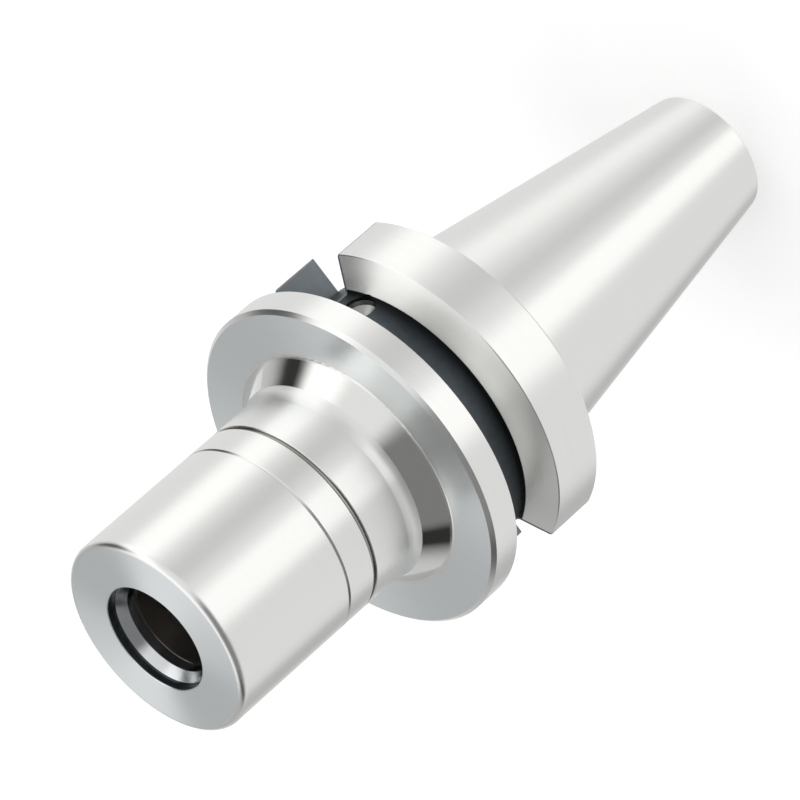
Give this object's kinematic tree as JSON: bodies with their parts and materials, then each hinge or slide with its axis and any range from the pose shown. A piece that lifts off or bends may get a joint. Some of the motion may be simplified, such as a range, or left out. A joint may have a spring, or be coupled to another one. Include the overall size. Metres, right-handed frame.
{
  "type": "collet chuck holder",
  "caption": "Machine-spindle tool holder with a steep taper shank, V-grooved flange with drive keyways, and a round screw nut that closes a collet socket.",
  "frame": {"origin": "centre of the taper's gauge plane, where the shank is 31.75 mm across", "axes": "+Z along the tool axis from the shank towards the nut; +X through one drive keyway"},
  "size_m": [0.046, 0.046, 0.1057],
  "materials": {
    "ground_steel": "fine cylindrically ground, with unground dark keyways and groove bottom",
    "nut_steel": "fine ground outside, satin turned face",
    "ring_steel": "finely turned",
    "spring_steel": "drawn wire",
    "blackened_steel": "black oxide"
  },
  "bodies": {
    "holder": {"holder_body": "ground_steel"},
    "thrust_ring": {"thrust_ring": "ring_steel"},
    "nut": {"clamping_nut": "nut_steel", "retaining_wire": "spring_steel"},
    "stop_screw": {"stop_screw": "blackened_steel"}
  },
  "joints": [
    {"name": "nut_travel", "type": "slide", "parent": "holder", "child": "thrust_ring", "axis": [0, 0, 1], "range_m": [0, 0.012]},
    {"name": "nut_turn", "type": "hinge", "parent": "thrust_ring", "child": "nut", "pos_m": [0, 0, 0.045], "axis": [0, 0, 1], "range_deg": [0, 4320]},
    {"name": "stop_screw_travel", "type": "slide", "parent": "holder", "child": "stop_screw", "axis": [0, 0, 1], "range_m": [-0.008, 0.006]}
  ],
  "couplings": [
    {"joint": "nut_travel", "follows": "nut_turn", "m_per_rad": 0.00015915}
  ]
}
